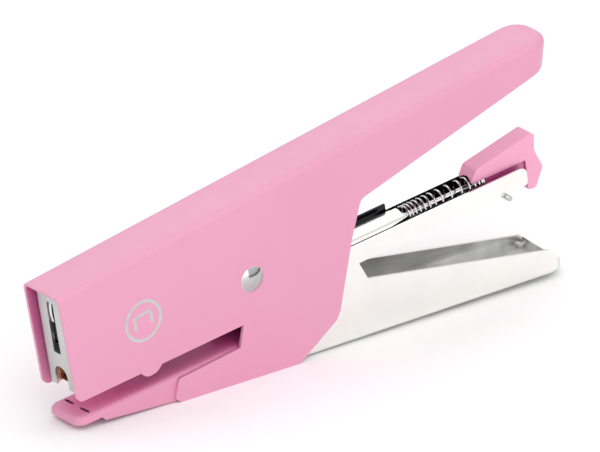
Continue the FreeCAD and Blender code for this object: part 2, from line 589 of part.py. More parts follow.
def make_magazine():
    """The rail: a channel open at the top, with two ears on the bush and a far wall that is the taller."""
    body = new_body("Magazine")
    rail_end = [("rail_length", "0"), ("rail_length", "rail_height")]
    rail_start = "plate_set + plate_sheet + weld_gap"
    rail = [(rail_start, "0")] + rail_end + [(rail_start, "rail_height")]
    extrude(body, outline(body, "RailSide", rail), "rail_width")
    blend(body, "rail_corner", spots([rail_end[1]]))
    blend(body, "rail_corner / 2", spots([rail_end[0]]))
    ear_top = "pivot_above + bush_radius + 1.5 * rail_wall"
    ears = [
        ("pivot_along - ear_radius", "rail_wall"),
        ("pivot_along + ear_radius", "rail_wall"),
        ("pivot_along + 1.5 * bush_radius", ear_top),
        ("pivot_along - 1.5 * bush_radius", ear_top),
    ]
    extrude(body, outline(body, "EarSide", ears), "rail_width")
    blend(body, "bush_radius", spots(ears[2:4]))
    hollow_low = (f"plate_sheet - {SEVER}", "rail_wall")
    hollow_high = (f"rail_length + {SEVER}", "pivot_above + 2 * ear_radius")
    cut(body, box_outline(body, "RailHollow", hollow_low, hollow_high), f"2 * {RAIL_INSIDE}")
    wall_rear = "rail_length - rail_corner"
    tall_front = "plate_set + flange_depth + flange_clear"
    far_wall = [
        (tall_front, "rail_wall"),
        (wall_rear, "rail_wall"),
        (wall_rear, "far_wall"),
        ("tall_wall_end", "far_wall"),
        ("tall_wall_end", "tall_wall"),
        (tall_front, "tall_wall"),
    ]
    wall = outline(body, "FarWall", far_wall, lift=f"-{RAIL_INSIDE}")
    extrude(body, wall, "rail_wall", side="One side", reverse=True)
    across = f"{RAIL_INSIDE} + rail_wall / 2"
    blend(body, "rail_wall", spots([far_wall[4]], across))
    way_low = ("0", "-rail_width / 2 + flange_sheet / 2")
    way_high = ("floor_front", "rail_width / 2 - flange_sheet / 2")
    way_out = box_outline(body, "StapleWay", way_low, way_high, "XY_Plane", f"-{LEAD}")
    cut(body, way_out, f"{LEAD} + rail_wall + {HAIR}", "One side", True)
    cut(body, circle(body, "MagazineEye", RAIL_PIVOT, "bush_radius + shaft_gap"), THROUGH)
    keep(body, "magazine", on="rail")


def make_front_plate():
    """The nose of the magazine: a plate with a slot and an arched notch, and a flange down each side."""
    body = new_body("FrontPlate")
    flange_top = ("flange_depth", "plate_top")
    flange_foot = "rail_height + weld_gap"
    side = [("0", "plate_foot"), ("plate_sheet", "plate_foot"), ("plate_sheet", flange_foot),
            ("flange_depth", flange_foot), flange_top, ("0", "plate_top")]
    extrude(body, outline(body, "PlateSide", side), "rail_width")
    blend(body, "2 * plate_sheet", spots([flange_top]))
    low = ("plate_sheet", f"-{SEVER}")
    high = (f"flange_depth + {SEVER}", f"plate_top + {SEVER}")
    cut(body, box_outline(body, "PlateHollow", low, high), "rail_width - 2 * flange_sheet")
    slot_ends = ["slot_foot", "slot_top"]
    cut_window(body, "Slot", "slot_width / 2", slot_ends, slot_ends, "slot_corner")
    arch_corner = f"arch_width / 2 - 2 * {HAIR}"
    cut_window(body, "Arch", "arch_width / 2", [f"-{LEAD}", "arch_top"], ["arch_top"], arch_corner)
    keep(body, "front_plate", on="plate")


def cut_window(body, name, half, heights, round_ends, corner):
    """An opening through the front plate between two heights, its corners rounded at the ends named."""
    sketch = box_outline(body, name, (f"-({half})", heights[0]), (half, heights[1]), "YZ_Plane", f"-{LEAD}")
    cut(body, sketch, f"{LEAD} + plate_sheet + {HAIR}", "One side", True)
    ends = [("plate_sheet / 2", z) for z in round_ends]
    blend(body, corner, spots(ends, half) + spots(ends, f"-({half})"))


def make_leaf_spring():
    """The bowed leaf that shows in the slot and keeps the staples square to the blade."""
    body = new_body("LeafSpring")
    top = "slot_top - 2 * leaf_sheet"
    back = "plate_sheet - leaf_gap"
    crown = ("leaf_gap", f"{top} - leaf_length / 2")
    hollow = ("leaf_gap + leaf_sheet", f"{top} - leaf_length / 2")
    points = [(back, top), (f"{back} - leaf_sheet", top), crown,
              (f"{back} - leaf_sheet", f"{top} - leaf_length"), (back, f"{top} - leaf_length"), hollow]
    extrude(body, outline(body, "LeafSide", points), "leaf_width")
    blend(body, "leaf_length", spots([crown, hollow]))
    keep(body, "leaf_spring", on="plate")


def make_driver_blade():
    """The flat blade that drives one staple, with a window for the driver arm's tongue."""
    body = new_body("DriverBlade")
    front = "plate_sheet + blade_gap"
    high = (f"{front} + blade_sheet", "blade_top")
    extrude(body, box_outline(body, "BladeSide", (front, "blade_foot"), high), "blade_width")
    blend(body, "1.5 * blade_sheet", middle((front, "blade_top"), high, "blade_width / 2"))
    half = "(tongue_width / 2 + window_side)"
    window_low = (f"-{half}", "tongue_foot - window_gap")
    window_high = (half, "tongue_foot + tongue_sheet + window_gap")
    window = box_outline(body, "Window", window_low, window_high, "YZ_Plane")
    cut(body, window, "plate_sheet + 2 * blade_sheet", "One side", True)
    keep(body, "driver_blade", on="plate")


def channel(name, label, start, end, low, high, width, wall, upright):
    """A straight channel along the rail, open at the top if upright and at the bottom if not."""
    body = new_body(name)
    extrude(body, box_outline(body, name + "Side", (start, low), (end, high)), width)
    inner_low = f"{low} + {wall}" if upright else f"{low} - {SEVER}"
    inner_high = f"{high} + {SEVER}" if upright else f"{high} - {wall}"
    hollow_low = (f"{start} - {SEVER}", inner_low)
    hollow_high = (f"{end} + {SEVER}", inner_high)
    cut(body, box_outline(body, name + "Hollow", hollow_low, hollow_high), f"{width} - 2 * {wall}")
    keep(body, label, on="rail")


def make_staples():
    """The inner rail that the staples ride on, and the strip of staples."""
    channel("StapleCore", "staple_core", "core_front", "core_rear", "rail_wall", "core_height",
            "core_width", "core_sheet", upright=True)
    channel("StapleStrip", "staple_strip", "strip_front", "strip_front + strip_length", "staple_foot",
            "staple_foot + staple_leg", "staple_width", "staple_wire", upright=False)


def make_follower():
    """The stepped channel that pushes the staples, narrowed at its rear end and bored for the guide rod."""
    body = new_body("Follower")
    side = "staple_width / 2"
    crown = "crown_width / 2"
    shoulder = "follower_top - follower_step"
    outer = [(side, "follower_foot"), (side, shoulder), (crown, shoulder), (crown, "follower_top")]
    inner = [(f"{side} - follower_sheet", "follower_foot"),
             (f"{side} - follower_sheet", f"{shoulder} - follower_sheet"),
             (f"{crown} - follower_sheet", f"{shoulder} - follower_sheet"),
             (f"{crown} - follower_sheet", "follower_top - follower_sheet")]
    section = outer + [(f"-({y})", z) for y, z in reversed(outer)]
    section += [(f"-({y})", z) for y, z in inner] + inner[::-1]
    sketch = outline(body, "FollowerSection", section, "YZ_Plane", "follower_front")
    extrude(body, sketch, "follower_rear - follower_front", side="One side")
    past_end = f"follower_rear + {LEAD}"
    for name, sign in (("TaperNear", "-"), ("TaperFar", "")):
        wide = f"{sign}({side} + {LEAD})"
        corner = [("follower_taper", f"{sign}({side})"), ("follower_rear", f"{sign}({side} - follower_nip)"),
                  (past_end, f"{sign}({side} - follower_nip)"), (past_end, wide),
                  ("follower_taper", wide)]
        cut(body, outline(body, name, corner, "XY_Plane", f"-{LEAD}"), "2 * follower_top", "One side", True)
    tab_low = ("follower_rear - follower_sheet", "follower_foot + follower_sheet")
    tab_high = ("follower_rear", f"{shoulder} - follower_sheet / 2")
    tab_width = f"2 * ({side} - follower_nip - shaft_gap)"
    extrude(body, box_outline(body, "FollowerTab", tab_low, tab_high), tab_width)
    bore = circle(body, "FollowerBore", ("0", "rod_above"), "rod_radius + 2 * shaft_gap", "YZ_Plane",
                  "follower_front")
    cut(body, bore, "rail_length", "One side", True)
    keep(body, "follower", on="rail")


def make_guide_rod():
    """The rod that the pusher spring is threaded on, with a collar on its front end."""
    axis = ("0", "rod_above")
    length = "shoe_front + rod_in_knob - rod_front"
    rod = round_bar("GuideRod", "rod_radius", length, axis, "YZ_Plane", "rod_front")
    keep(rod, "guide_rod", on="rail")
    collar = round_bar("RodStop", "stop_radius", "stop_length", axis, "YZ_Plane", "rod_front")
    bore = circle(collar, "StopBore", axis, "rod_radius", "YZ_Plane", f"rod_front - {LEAD}")
    cut(collar, bore, f"stop_length + 2 * {LEAD}", "One side", True)
    keep(collar, "rod_stop", on="rail")


def make_knob():
    """The pull at the rail's rear end: a head over the walls, a narrower shoe between them, and a hook."""
    body = new_body("Knob")
    hook_x = "rail_length + hook_gap"
    brow = ("knob_brow", "knob_brow_z")
    crest = ("rail_length + knob_crest", "knob_crest_z")
    waist = ("rail_length + knob_waist", "knob_waist_z")
    bulge = ("rail_length + knob_bulge", "knob_bulge_z")
    toe = ("rail_length + knob_toe", "knob_toe_z")
    inner_toe = (hook_x, "knob_toe_z + knob_corner / 2")
    tip = ("knob_front", "knob_foot_z + knob_corner / 4")
    side = [tip, brow, crest, waist, bulge, toe, inner_toe, (hook_x, "knob_foot_z")]
    extrude(body, outline(body, "KnobSide", side), "knob_width")
    blend(body, "knob_hollow", spots([waist]))
    blend(body, "knob_corner", spots([brow, crest, bulge, toe]))
    blend(body, "knob_corner / 3", spots([tip, inner_toe]))
    axis = ("0", "rod_above")
    pocket = circle(body, "SpringPocket", axis, "coil_radius + coil_gap", "YZ_Plane",
                    f"knob_front - {LEAD}")
    cut(body, pocket, f"shoe_front - knob_front + {LEAD}", "One side", True)
    shoe = box_outline(body, "Shoe", ("shoe_front", "shoe_foot"), (hook_x, "knob_foot_z + knob_corner"))
    extrude(body, shoe, "shoe_width")
    bore = circle(body, "KnobBore", axis, "rod_radius", "YZ_Plane", f"shoe_front - {LEAD}")
    cut(body, bore, f"{LEAD} + rod_in_knob", "One side", True)
    keep(body, "knob", on="rail")


def helix_coil(name, label, mean, wire, turns, length, place):
    """A round wire wound about the placement's own Z axis, then laid on the rail."""
    pitch = (length - wire) / turns
    path = Part.makeHelix(pitch, length - wire, mean)
    ring = Part.Wire(Part.Circle(FreeCAD.Vector(mean, 0, 0), FreeCAD.Vector(0, 1, 0), wire / 2).toShape())
    lift = FreeCAD.Placement(FreeCAD.Vector(0, 0, wire / 2), FreeCAD.Rotation())
    for wound in (path, ring):
        wound.Placement = place.multiply(lift).multiply(wound.Placement)
    spring = doc.addObject("Part::Feature", name)
    spring.Shape = Part.Wire(path.Edges).makePipeShell([ring], True, True)
    keep(spring, label, on="rail")


def make_pusher_spring():
    """The spring around the rod, between the follower's tab and the knob's shoe."""
    start = number("follower_rear + coil_gap")
    length = number("shoe_front - follower_rear - 2 * coil_gap")
    along_rail = FreeCAD.Rotation(FreeCAD.Vector(0, 1, 0), 90)
    place = FreeCAD.Placement(FreeCAD.Vector(start, 0, number("rod_above")), along_rail)
    mean = number("coil_radius - coil_wire / 2")
    helix_coil("PusherSpring", "pusher_spring", mean, number("coil_wire"), COIL_TURNS, length, place)


def make_return_spring():
    """The torsion spring around the bush, which holds the levers apart."""
    width = number("return_coil_width")
    across = FreeCAD.Rotation(FreeCAD.Vector(1, 0, 0), 90)
    spot = FreeCAD.Vector(number("pivot_along"), width / 2, number("pivot_above"))
    place = FreeCAD.Placement(spot, across)
    wire = number("return_wire")
    helix_coil("ReturnSpring", "return_spring", number("return_mean"), wire, RETURN_TURNS, width, place)


def make_latch_pin():
    """The small cross pin under the rail near its rear end."""
    centre = ("latch_along", "-latch_radius - weld_gap")
    pin = round_bar("LatchPin", "latch_radius", "latch_length", centre, "XZ_Plane", "-latch_length / 2")
    keep(pin, "latch_pin", on="rail")


def check(pieces):
    """Stop if anything in the document failed, or if a sub-part is null or invalid."""
    for item in doc.Objects:
        if "Invalid" in item.State or "Error" in item.State:
            raise RuntimeError(f"{item.Name} failed: {item.State}")
    for piece in pieces:
        if piece.Shape.isNull() or not piece.Shape.isValid() or not piece.Shape.Solids:
            raise RuntimeError(f"{piece.Label} is not a valid solid")


make_casing()
make_anvil_arm()
make_pivot()
make_lower_handle()
make_driver_arm()
make_magazine()
make_front_plate()
make_leaf_spring()
make_driver_blade()
make_staples()
make_follower()
make_guide_rod()
make_knob()
make_pusher_spring()
make_return_spring()
make_latch_pin()
doc.recompute()
check(nodes)
os.makedirs("parts", exist_ok=True)
for piece in nodes:
    piece.Shape.exportStep(f"parts/{piece.Label}.step")
    box = piece.Shape.BoundBox
    print(f"{piece.Label:14} {piece.Shape.Volume:9.1f} mm3  x {box.XMin:7.2f} {box.XMax:7.2f}"
          f"  y {box.YMin:6.2f} {box.YMax:6.2f}  z {box.ZMin:6.2f} {box.ZMax:6.2f}")
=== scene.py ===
import json
import math
import random

import bmesh
import bpy
from mathutils import Matrix, Vector


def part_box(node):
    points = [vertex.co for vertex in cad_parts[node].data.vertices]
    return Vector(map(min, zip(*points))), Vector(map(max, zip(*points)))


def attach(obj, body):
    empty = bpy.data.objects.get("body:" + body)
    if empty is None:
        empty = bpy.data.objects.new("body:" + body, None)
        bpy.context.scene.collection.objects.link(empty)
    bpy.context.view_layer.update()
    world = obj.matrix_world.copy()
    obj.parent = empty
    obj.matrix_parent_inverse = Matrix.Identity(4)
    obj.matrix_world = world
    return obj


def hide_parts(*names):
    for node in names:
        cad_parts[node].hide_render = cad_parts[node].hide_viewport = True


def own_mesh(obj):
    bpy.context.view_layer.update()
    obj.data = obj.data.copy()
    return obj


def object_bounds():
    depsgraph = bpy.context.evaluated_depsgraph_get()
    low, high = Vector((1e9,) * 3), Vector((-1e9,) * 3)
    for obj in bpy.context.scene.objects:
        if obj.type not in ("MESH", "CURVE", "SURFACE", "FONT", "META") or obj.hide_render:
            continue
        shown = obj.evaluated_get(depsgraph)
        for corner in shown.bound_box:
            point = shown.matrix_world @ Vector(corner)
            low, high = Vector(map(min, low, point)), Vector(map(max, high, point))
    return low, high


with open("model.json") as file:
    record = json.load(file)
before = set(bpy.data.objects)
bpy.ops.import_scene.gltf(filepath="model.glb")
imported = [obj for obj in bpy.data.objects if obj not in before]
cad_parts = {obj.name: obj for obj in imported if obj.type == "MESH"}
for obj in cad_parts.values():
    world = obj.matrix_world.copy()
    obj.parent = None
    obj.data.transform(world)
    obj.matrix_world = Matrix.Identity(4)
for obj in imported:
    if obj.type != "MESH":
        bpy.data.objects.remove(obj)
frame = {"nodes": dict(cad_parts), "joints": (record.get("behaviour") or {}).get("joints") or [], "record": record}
CAD_BOX = [list(corner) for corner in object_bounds()]

# A one-hand plier stapler, in metres. +X runs from the nose to the handles and +Z is up.
# Everything on the magazine is placed in the rail's own axes, counted from the pivot:
# along the rail towards its rear end, across it, and above it.

NODES = frame["nodes"]
JOINTS = {joint["name"]: joint for joint in frame["joints"]}
PIVOT = Vector(JOINTS["handle_squeeze"]["pos_m"])
RAIL = Vector(JOINTS["knob_pull"]["axis"]).normalized()
ACROSS = Vector((0, 1, 0))
RAIL_AXES = (RAIL, ACROSS, RAIL.cross(ACROSS))
PLATE_UP = -Vector(JOINTS["driver_drop"]["axis"]).normalized()
PLATE_AXES = (ACROSS.cross(PLATE_UP), ACROSS, PLATE_UP)
MM = 0.001
rng = random.Random(7)


def laid(axes, along, across, above):
    """The world point at these coordinates, counted from the pivot along the axes."""
    return PIVOT + axes[0] * along + axes[1] * across + axes[2] * above


def rail_point(along, across, above):
    return laid(RAIL_AXES, along, across, above)


def extent(node, axes=RAIL_AXES):
    """Lowest and highest (along, across, above) of a CAD node, in the rail's axes unless told otherwise."""
    points = [vertex.co - PIVOT for vertex in NODES[node].data.vertices]
    spans = [[point.dot(axis) for point in points] for axis in axes]
    return [min(span) for span in spans], [max(span) for span in spans]


# ---- materials ----


class Shader:
    """A small helper that adds nodes to one material and links them."""

    def __init__(self, name):
        self.material = bpy.data.materials.new(name)
        self.material.use_nodes = True
        self.tree = self.material.node_tree
        self.surface = self.tree.nodes["Principled BSDF"]
        self.place = self.add("ShaderNodeTexCoord").outputs["Object"]

    def add(self, kind, **settings):
        node = self.tree.nodes.new(kind)
        for name, value in settings.items():
            setattr(node, name, value)
        return node

    def link(self, start, end):
        self.tree.links.new(start, end)

    def set(self, **values):
        for name, value in values.items():
            self.surface.inputs[name.replace("_", " ")].default_value = value

    def noise(self, scale, detail=3.0, rough=0.5, stretch=(1, 1, 1)):
        """A noise value over the object's own metres, stretched along its axes."""
        mapping = self.add("ShaderNodeMapping")
        mapping.inputs["Scale"].default_value = stretch
        self.link(self.place, mapping.inputs["Vector"])
        texture = self.add("ShaderNodeTexNoise")
        texture.inputs["Scale"].default_value = scale
        texture.inputs["Detail"].default_value = detail
        texture.inputs["Roughness"].default_value = rough
        self.link(mapping.outputs["Vector"], texture.inputs["Vector"])
        return texture.outputs["Fac"]

    def remap(self, value, low, high, start=0.35, end=0.65):
        """The value spread from low to high as it runs from start to end."""
        node = self.add("ShaderNodeMapRange")
        for name, number in (("From Min", start), ("From Max", end), ("To Min", low), ("To Max", high)):
            node.inputs[name].default_value = number
        self.link(value, node.inputs["Value"])
        return node.outputs["Result"]

    def math(self, operation, first, second):
        """One Math node over two values, each a socket or a number."""
        node = self.add("ShaderNodeMath", operation=operation)
        for socket, value in zip(node.inputs, (first, second)):
            if isinstance(value, (int, float)):
                socket.default_value = value
            else:
                self.link(value, socket)
        return node.outputs[0]

    def blend(self, factor, first, second):
        """A colour between two, by the factor."""
        node = self.add("ShaderNodeMix", data_type="RGBA")
        self.link(factor, node.inputs[0])
        for socket, colour in ((node.inputs[6], first), (node.inputs[7], second)):
            if isinstance(colour, tuple):
                socket.default_value = (*colour, 1)
            else:
                self.link(colour, socket)
        return node.outputs[2]

    def edges(self, radius):
        """0 on flat ground, rising towards 1 where the surface turns within the radius."""
        rounded = self.add("ShaderNodeBevel", samples=4)
        rounded.inputs["Radius"].default_value = radius
        plain = self.add("ShaderNodeNewGeometry")
        dot = self.add("ShaderNodeVectorMath", operation="DOT_PRODUCT")
        self.link(rounded.outputs["Normal"], dot.inputs[0])
        self.link(plain.outputs["Normal"], dot.inputs[1])
        return self.remap(dot.outputs["Value"], 1.0, 0.0, 0.82, 0.995)

    def within(self, half_width, behind=None, blur=0.05 * MM):
        """1 nearer to the middle plane than the half width, and behind the x given, 0 elsewhere."""
        parts = self.add("ShaderNodeSeparateXYZ")
        self.link(self.place, parts.inputs[0])
        distance = self.math("ABSOLUTE", parts.outputs["Y"], 0)
        inside = self.remap(distance, 1.0, 0.0, half_width - blur, half_width + blur)
        if behind is None:
            return inside
        past = self.remap(parts.outputs["X"], 0.0, 1.0, behind, behind + 4 * MM)
        return self.math("MULTIPLY", inside, past)

    def upward(self):
        """1 on faces that look up, 0 on upright faces and below."""
        parts = self.add("ShaderNodeSeparateXYZ")
        self.link(self.add("ShaderNodeNewGeometry").outputs["Normal"], parts.inputs[0])
        return self.remap(parts.outputs["Z"], 0.0, 1.0, 0.3, 0.8)

    def shade_mask(self, distance, start, end, local=True):
        """0 in the open, rising to 1 where surfaces of the piece itself, or of any piece, close in: the mask for
        painted shade.
        """
        node = self.add("ShaderNodeAmbientOcclusion", samples=8, only_local=local)
        node.inputs["Distance"].default_value = distance
        return self.remap(node.outputs["AO"], 1.0, 0.0, start, end)

    def bump(self, height, strength, distance):
        node = self.add("ShaderNodeBump")
        node.inputs["Strength"].default_value = strength
        node.inputs["Distance"].default_value = distance
        self.link(height, node.inputs["Height"])
        self.link(node.outputs["Normal"], self.surface.inputs["Normal"])


# Painted shade colours: a pink for shade inside the casing and on the plastic, a warmer pink for shade on the
# anvil's top under the head, and darker pinks for shade in the throat and in the grooves.
SHADE_PINK = (0.56, 0.05, 0.25)
TOP_SHADE_PINK = (0.88, 0.08, 0.38)
THROAT_SHADE_PINK = (0.30, 0.02, 0.14)
GROOVE_SHADE_PINK = (0.16, 0.01, 0.07)


def enamel(name):
    """Satin pink enamel's ground: slow drifts of colour, and a faint orange peel."""
    look = Shader(name)
    drift = look.remap(look.noise(28, 2), 0, 1)
    base = look.blend(drift, (0.730, 0.306, 0.455), (0.744, 0.318, 0.468))
    look.link(look.remap(look.noise(160, 4), 0.38, 0.46), look.surface.inputs["Roughness"])
    look.bump(look.noise(1400, 2), 0.10, 0.00008)
    return look, base


def thin_paint_and_highlight_edges(look, base):
    """The base lighter on the edges, linked to the surface: partly the paint drawn thin there, partly a painted
    highlight.
    """
    # Lighter edges: thinner paint, and a painted highlight.
    edge = look.remap(look.edges(0.5 * MM), 0.0, 0.28, 0, 1)
    look.link(look.blend(edge, base, (0.86, 0.44, 0.60)), look.surface.inputs["Base Color"])
    return look.material


def casing_enamel_with_shade():
    """Enamel with painted shade: its colour darkens to a shade pink inside the pressing, where its own walls close
    in.
    """
    look, base = enamel("painted_steel")
    # Painted shade where the casing's own walls close in.
    base = look.blend(look.shade_mask(26 * MM, 0.34, 0.88), base, SHADE_PINK)
    look.set(Specular_IOR_Level=0.5, Coat_Weight=0.22, Coat_Roughness=0.3)
    return thin_paint_and_highlight_edges(look, base)


def anvil_enamel_with_shade():
    """Enamel with painted shade: a warmer pink on top where other pieces stand close over it, a darker pink
    in the throat's far end, and the darkest pink in the grooves."""
    look, base = enamel("anvil_enamel_with_shade")
    # Painted shade on faces that look up under other pieces, darker in the throat, darkest in the grooves.
    top_shade = look.math("MULTIPLY", look.shade_mask(14 * MM, 0.2, 0.75, local=False), look.upward())
    base = look.blend(top_shade, base, TOP_SHADE_PINK)
    throat_shade = look.math("MULTIPLY", look.shade_mask(14 * MM, 0.0, 0.3, local=False), look.upward())
    base = look.blend(throat_shade, base, THROAT_SHADE_PINK)
    base = look.blend(look.shade_mask(1.4 * MM, 0.45, 0.8), base, GROOVE_SHADE_PINK)
    look.set(Specular_IOR_Level=0.22, Coat_Weight=0.05, Coat_Roughness=0.3)
    return thin_paint_and_highlight_edges(look, base)


def pink_plastic():
    """Moulded plastic: a fine matt grain, a trace of light inside, painted shade where other pieces close in, and
    a painted highlight on the edges.
    """
    look = Shader("pink_plastic")
    drift = look.remap(look.noise(60, 2), 0, 1)
    base = look.blend(drift, (0.850, 0.365, 0.530), (0.865, 0.380, 0.545))
    # Painted shade where other pieces close in.
    base = look.blend(look.shade_mask(7 * MM, 0.35, 0.85, local=False), base, SHADE_PINK)
    # Painted highlight on the edges.
    edge = look.remap(look.edges(0.4 * MM), 0.0, 0.4, 0, 1)
    look.link(look.blend(edge, base, (0.88, 0.42, 0.60)), look.surface.inputs["Base Color"])
    look.link(look.remap(look.noise(400, 3), 0.40, 0.50), look.surface.inputs["Roughness"])
    look.set(Specular_IOR_Level=0.5, Subsurface_Weight=0.08, Subsurface_Scale=0.001)
    look.bump(look.noise(2600, 3), 0.14, 0.00006)
    return look.material


def gray_ink():
    """Printed gray ink with a dry, slightly uneven surface."""
    look = Shader("gray_ink")
    patch = look.remap(look.noise(700, 4), 0, 1)
    look.link(look.blend(patch, (0.50, 0.50, 0.50), (0.56, 0.56, 0.56)), look.surface.inputs["Base Color"])
    look.link(look.remap(look.noise(900, 3), 0.42, 0.56), look.surface.inputs["Roughness"])
    look.bump(look.noise(3000, 2), 0.1, 0.00004)
    return look.material


def plated(name, first, second, smooth, rough, grain, stretch=(1, 1, 1), depth=0.00004,
           inside=None, behind=None, inner=(0.03, 0.03, 0.035)):
    """Plated metal: cloudy colour, rolling marks along the stretch, and lighter edges, partly polished bright and
    partly a painted highlight.
    Where a half width is given for the inside, the faces nearer to the middle take the inner colour as painted
    shade, or only those behind the x given."""
    look = Shader(name)
    cloud = look.remap(look.noise(90, 4), 0, 1)
    marks = look.noise(grain, 5, 0.6, stretch)
    base = look.blend(cloud, first, second)
    if inside:
        # Painted shade inside the channel: the inner colour, a little cloudy.
        inside_shade = look.blend(cloud, inner, tuple(1.25 * part for part in inner))
        base = look.blend(look.within(inside, behind), base, inside_shade)
    # Lighter edges: polished, and a painted highlight.
    edge = look.remap(look.edges(0.3 * MM), 0.0, 0.5, 0, 1)
    look.link(look.blend(edge, base, (0.97, 0.96, 0.93)), look.surface.inputs["Base Color"])
    look.link(look.remap(marks, smooth, rough), look.surface.inputs["Roughness"])
    look.set(Metallic=1.0)
    look.bump(marks, 0.12, depth)
    return look.material


ALONG = (0.06, 1, 1)
UPRIGHT = (1, 1, 0.05)
BRIGHT = ((0.93, 0.92, 0.885), (0.89, 0.88, 0.85))
MATERIALS = {
    "painted_steel": casing_enamel_with_shade(),
    "pink_plastic": pink_plastic(),
    "nickel": plated("nickel", *BRIGHT, 0.12, 0.22, 900, ALONG),
    "satin_nickel": plated("satin_nickel", (0.60, 0.60, 0.60), (0.54, 0.54, 0.54), 0.34, 0.46, 1500, UPRIGHT),
    "zinc_steel": plated("zinc_steel", (0.50, 0.50, 0.49), (0.42, 0.42, 0.43), 0.32, 0.48, 700, ALONG),
    "blade_steel": plated("blade_steel", (0.01, 0.01, 0.014), (0.02, 0.02, 0.02), 0.28, 0.42, 1200, UPRIGHT),
    "spring_steel": plated("spring_steel", (0.80, 0.80, 0.80), (0.68, 0.68, 0.69), 0.14, 0.24, 1500),
    "copper": plated("copper", (0.80, 0.36, 0.14), (0.88, 0.46, 0.20), 0.20, 0.34, 2000),
}
# Painted shade inside the rail, near black behind its front part, and a lighter painted shade inside the trough.
RAIL_NICKEL_SHADED_INSIDE = plated("rail_nickel_shaded_inside", *BRIGHT, 0.12, 0.22, 900, ALONG, inside=4.5 * MM, behind=-60 * MM)
TROUGH_NICKEL_SHADED_INSIDE = plated("trough_nickel_shaded_inside", *BRIGHT, 0.10, 0.20, 900, ALONG, inside=6.2 * MM,
                       inner=(0.65, 0.65, 0.64))
PIN_NICKEL = plated("pin_nickel", (0.60, 0.60, 0.59), (0.50, 0.50, 0.50), 0.10, 0.20, 900)
ANVIL_ENAMEL_WITH_SHADE = anvil_enamel_with_shade()
GRAY_INK = gray_ink()


def dress(obj, slot, material=None):
    """Give the object the material of one of the record's slots, or the material given."""
    obj.data.materials.clear()
    obj.data.materials.append(material or MATERIALS[slot])


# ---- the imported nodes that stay, with their sheet edges broken ----


def break_edges(obj, width, segments=2, angle=38):
    """A fine round along every sharp edge, as a press or a polishing drum leaves it."""
    bevel = obj.modifiers.new("broken_edges", "BEVEL")
    bevel.width = width
    bevel.segments = segments
    bevel.limit_method = "ANGLE"
    bevel.angle_limit = math.radians(angle)
    bevel.use_clamp_overlap = True
    bevel.harden_normals = True


SLOTS = {row["node"]: row["material_slot"] for row in frame["record"]["subparts"]}
SPECIAL = {
    "magazine": RAIL_NICKEL_SHADED_INSIDE,
    "staple_core": RAIL_NICKEL_SHADED_INSIDE,
    "lower_handle": TROUGH_NICKEL_SHADED_INSIDE,
    "anvil_arm": ANVIL_ENAMEL_WITH_SHADE,
    "latch_pin": PIN_NICKEL,
    "pivot_rivet": PIN_NICKEL,
}
EDGE_WIDTH = {
    "casing": 0.22 * MM, "anvil_arm": 0.22 * MM, "lower_handle": 0.16 * MM, "magazine": 0.12 * MM,
    "front_plate": 0.12 * MM, "follower": 0.10 * MM, "knob": 0.55 * MM, "driver_arm": 0.15 * MM,
}
for name, node in NODES.items():
    node.data.materials.clear()
    node.data.materials.append(SPECIAL.get(name, MATERIALS[SLOTS[name]]))
    if name in EDGE_WIDTH:
        break_edges(node, EDGE_WIDTH[name], 3 if name == "knob" else 2)


# ---- wire pieces ----


def new_piece(name, mesh_maker, body, slot, material=None):
    """A mesh object built by the maker, riding on its body."""
    shape = bmesh.new()
    mesh_maker(shape)
    bmesh.ops.recalc_face_normals(shape, faces=shape.faces)
    mesh = bpy.data.meshes.new(name)
    shape.to_mesh(mesh)
    shape.free()
    for face in mesh.polygons:
        face.use_smooth = True
    piece = bpy.data.objects.new(name, mesh)
    bpy.context.scene.collection.objects.link(piece)
    dress(piece, slot, material)
    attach(piece, body)
    return piece


def add_wire(shape, points, profile, first_side):
    """Sweep a closed profile of (side, up) offsets along the points, with its ends closed."""
    rings = []
    side = first_side
    for index, point in enumerate(points):
        before = points[max(index - 1, 0)]
        after = points[min(index + 1, len(points) - 1)]
        ahead = (after - before).normalized()
        side = (side - ahead * side.dot(ahead)).normalized()
        up = ahead.cross(side)
        rings.append([shape.verts.new(point + side * across + up * rise) for across, rise in profile])
    for here, there in zip(rings, rings[1:]):
        for corner, vertex in enumerate(here):
            following = (corner + 1) % len(here)
            shape.faces.new((vertex, here[following], there[following], there[corner]))
    shape.faces.new(rings[0])
    shape.faces.new(rings[-1])


def round_profile(radius, sides=12):
    """A round wire's section."""
    turns = [2 * math.pi * step / sides for step in range(sides)]
    return [(radius * math.cos(turn), radius * math.sin(turn)) for turn in turns]


def flat_profile(half_width, half_height, corner):
    """A flattened wire's section: a rectangle with cut corners."""
    w, h, c = half_width, half_height, corner
    half_ring = [(w, h - c), (w - c, h), (c - w, h), (-w, h - c)]
    return half_ring + [(-across, -rise) for across, rise in half_ring]


# The strip of staples: separate U-shaped staples glued side by side.

STAPLE_COUNT = 100
STAPLE_WIRE = 0.5 * MM


def make_staples():
    low, high = extent("staple_strip")
    pitch = (high[0] - low[0]) / STAPLE_COUNT
    half_wire = STAPLE_WIRE / 2
    half_crown = high[1] - half_wire
    crown_z = high[2] - half_wire
    corner = 0.45 * MM
    turns = [math.radians(angle) for angle in (0, 30, 60, 90)]

    def build(shape):
        for count in range(STAPLE_COUNT):
            along = low[0] + pitch * (count + 0.5)
            drop = rng.uniform(0, 0.03) * MM
            top = crown_z - drop
            near = [(-half_crown, low[2] + drop), (-half_crown, top - corner)]
            near += [(-half_crown + corner * (1 - math.cos(turn)), top - corner * (1 - math.sin(turn)))
                     for turn in turns[1:]]
            route = near + [(-across, above) for across, above in reversed(near)]
            points = [rail_point(along, across, above) for across, above in route]
            add_wire(shape, points, flat_profile(pitch * 0.48, half_wire, 0.07 * MM), RAIL)

    staples = new_piece("staples", build, "magazine", "copper")
    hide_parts("staple_strip")


